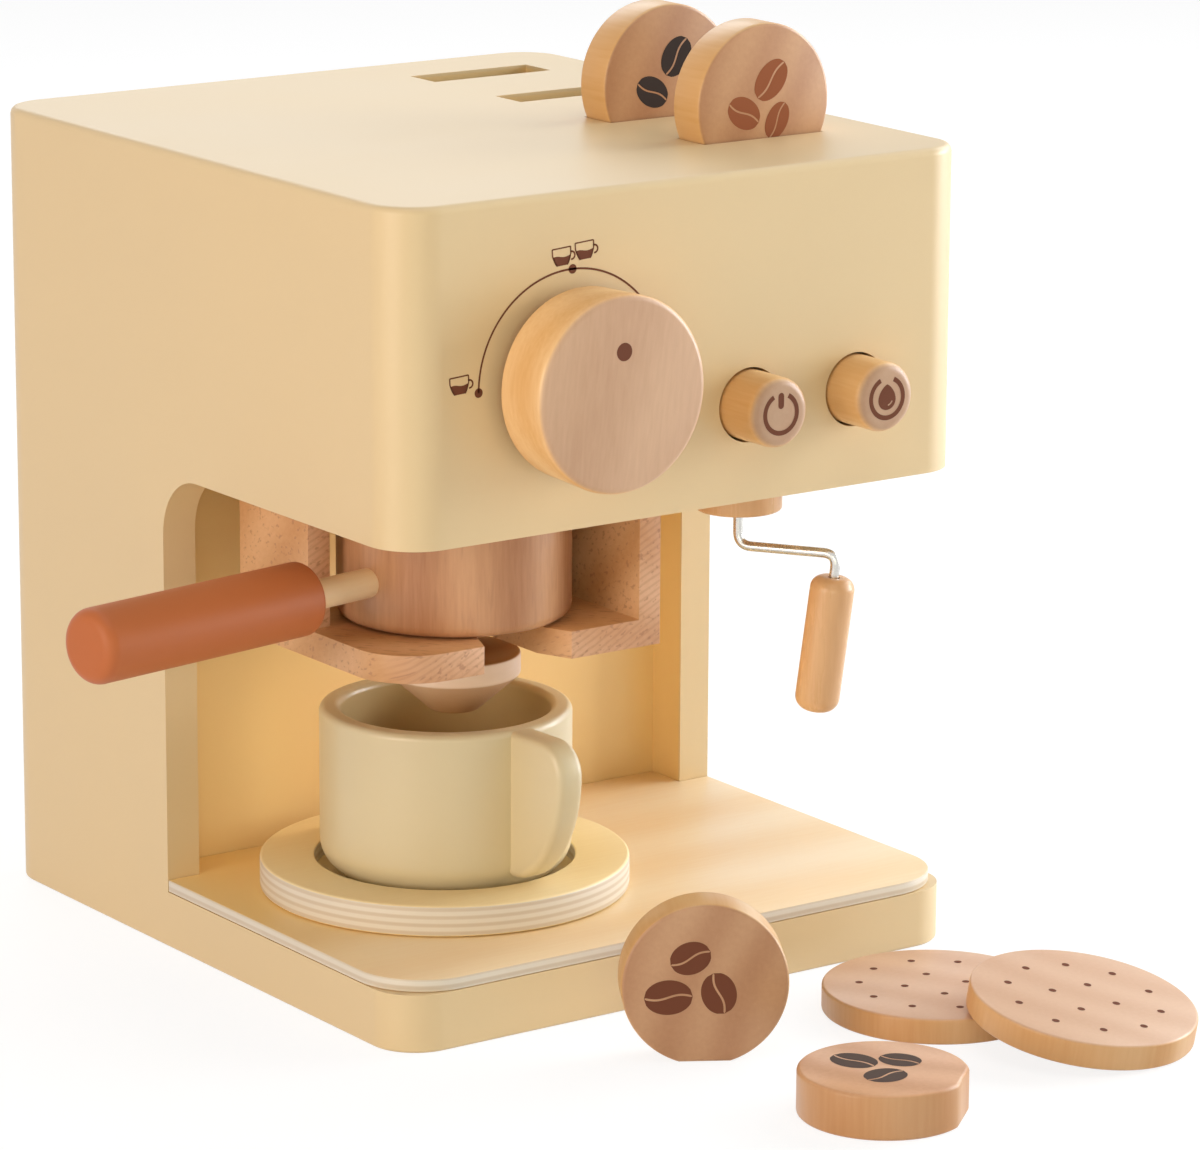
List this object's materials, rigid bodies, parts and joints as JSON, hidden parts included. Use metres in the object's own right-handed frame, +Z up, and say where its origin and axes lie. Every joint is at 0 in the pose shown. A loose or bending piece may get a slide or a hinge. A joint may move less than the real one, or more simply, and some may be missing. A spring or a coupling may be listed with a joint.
{
  "type": "toy coffee maker",
  "caption": "Wooden toy coffee maker: a head over an open bay, with a turning knob, push buttons, a slide-in filter, a swinging wand, a cup on a saucer, pods and biscuits.",
  "frame": {"origin": "middle of the base board's underside", "axes": "+Z up; -Y towards the front face with the knob and buttons; +X to the right of someone facing it"},
  "size_m": [0.2361, 0.3048, 0.2347],
  "materials": {
    "cream_paint": "cream paint, satin",
    "terracotta_paint": "terracotta paint, satin",
    "beech": "oiled beech",
    "maple": "smooth maple",
    "birch_ply": "birch plywood",
    "pale_dowel": "bare dowel",
    "pinewood": "bare pine",
    "steel": "bright wire",
    "zinc": "zinc plated"
  },
  "bodies": {
    "housing": {"base_board": "cream_paint", "base_plate": "birch_ply", "left_side_panel": "cream_paint", "right_side_panel": "cream_paint", "rear_panel": "cream_paint", "niche_back_panel": "cream_paint", "head_floor_panel": "cream_paint", "front_panel": "cream_paint", "top_panel": "cream_paint", "button_guide_board": "pinewood", "power_button_spring": "steel", "water_button_spring": "steel", "left_catch_rail": "beech", "right_catch_rail": "beech", "catch_screw_1": "zinc", "catch_screw_2": "zinc", "catch_screw_3": "zinc", "catch_screw_4": "zinc", "wand_collar": "maple"},
    "knob": {"brew_knob": "maple", "knob_dowel": "pinewood", "knob_stop_disc": "pinewood"},
    "power_push_button": {"power_button": "maple"},
    "water_push_button": {"water_button": "maple"},
    "nozzle": {"filter_nozzle": "maple"},
    "filter": {"filter_basket": "beech", "handle_dowel": "pale_dowel", "handle_grip": "terracotta_paint"},
    "saucer_body": {"saucer": "birch_ply"},
    "cup_body": {"cup": "cream_paint"},
    "wand": {"wand_rod": "steel", "wand_rod_washer": "zinc"},
    "wand_grip": {"wand_handle": "maple"},
    "pod_in_front_slot": {"front_pod": "maple"},
    "pod_in_second_slot": {"second_pod": "maple"},
    "pod_on_edge": {"standing_pod": "maple"},
    "pod_lying": {"lying_pod": "maple"},
    "biscuit_flat": {"flat_biscuit": "maple"},
    "biscuit_leaning": {"leaning_biscuit": "maple"}
  },
  "joints": [
    {"name": "knob_turn", "type": "hinge", "parent": "housing", "child": "knob", "pos_m": [-0.0358, -0.095, 0.1606], "axis": [0, 1, 0], "continuous": true},
    {"name": "power_button_press", "type": "slide", "parent": "housing", "child": "power_push_button", "axis": [0, 1, 0], "range_m": [0, 0.005], "stiffness_N_per_m": 150, "springref_m": -0.004, "deforming": ["power_button_spring"]},
    {"name": "water_button_press", "type": "slide", "parent": "housing", "child": "water_push_button", "axis": [0, 1, 0], "range_m": [0, 0.005], "stiffness_N_per_m": 150, "springref_m": -0.004, "deforming": ["water_button_spring"]},
    {"name": "filter_slide", "type": "slide", "parent": "housing", "child": "nozzle", "axis": [0, -1, 0], "range_m": [0, 0.062]},
    {"name": "filter_turn", "type": "hinge", "parent": "nozzle", "child": "filter", "pos_m": [-0.0295, -0.0352, 0.0942], "axis": [0, 0, 1], "range_deg": [-8, 80]},
    {"name": "saucer_slide", "type": "slide", "parent": "housing", "child": "saucer_body", "axis": [0, -1, 0], "range_m": [0, 0.034]},
    {"name": "cup_turn", "type": "hinge", "parent": "saucer_body", "child": "cup_body", "pos_m": [-0.0279, -0.029, 0.022], "axis": [0, 0, 1], "range_deg": [-150, 150]},
    {"name": "wand_swing", "type": "hinge", "parent": "housing", "child": "wand", "pos_m": [0.0349, -0.067, 0.124], "axis": [0, 0, 1], "range_deg": [-80, 150]},
    {"name": "wand_handle_spin", "type": "hinge", "parent": "wand", "child": "wand_grip", "pos_m": [0.04817, -0.08595, 0.08167], "axis": [0.0699, -0.0998, 0.9925], "continuous": true},
    {"name": "front_pod_lift", "type": "slide", "parent": "housing", "child": "pod_in_front_slot", "axis": [0, 0, 1], "range_m": [0, 0.04]},
    {"name": "second_pod_lift", "type": "slide", "parent": "housing", "child": "pod_in_second_slot", "axis": [0, 0, 1], "range_m": [0, 0.04]},
    {"name": "standing_pod_lift", "type": "slide", "parent": "housing", "child": "pod_on_edge", "axis": [0, 0, 1], "range_m": [0, 0.03]},
    {"name": "lying_pod_lift", "type": "slide", "parent": "housing", "child": "pod_lying", "axis": [0, 0, 1], "range_m": [0, 0.03]},
    {"name": "flat_biscuit_lift", "type": "slide", "parent": "housing", "child": "biscuit_flat", "axis": [0, 0, 1], "range_m": [0, 0.03]},
    {"name": "leaning_biscuit_lift", "type": "slide", "parent": "biscuit_flat", "child": "biscuit_leaning", "axis": [0, 0, 1], "range_m": [0, 0.03]}
  ]
}
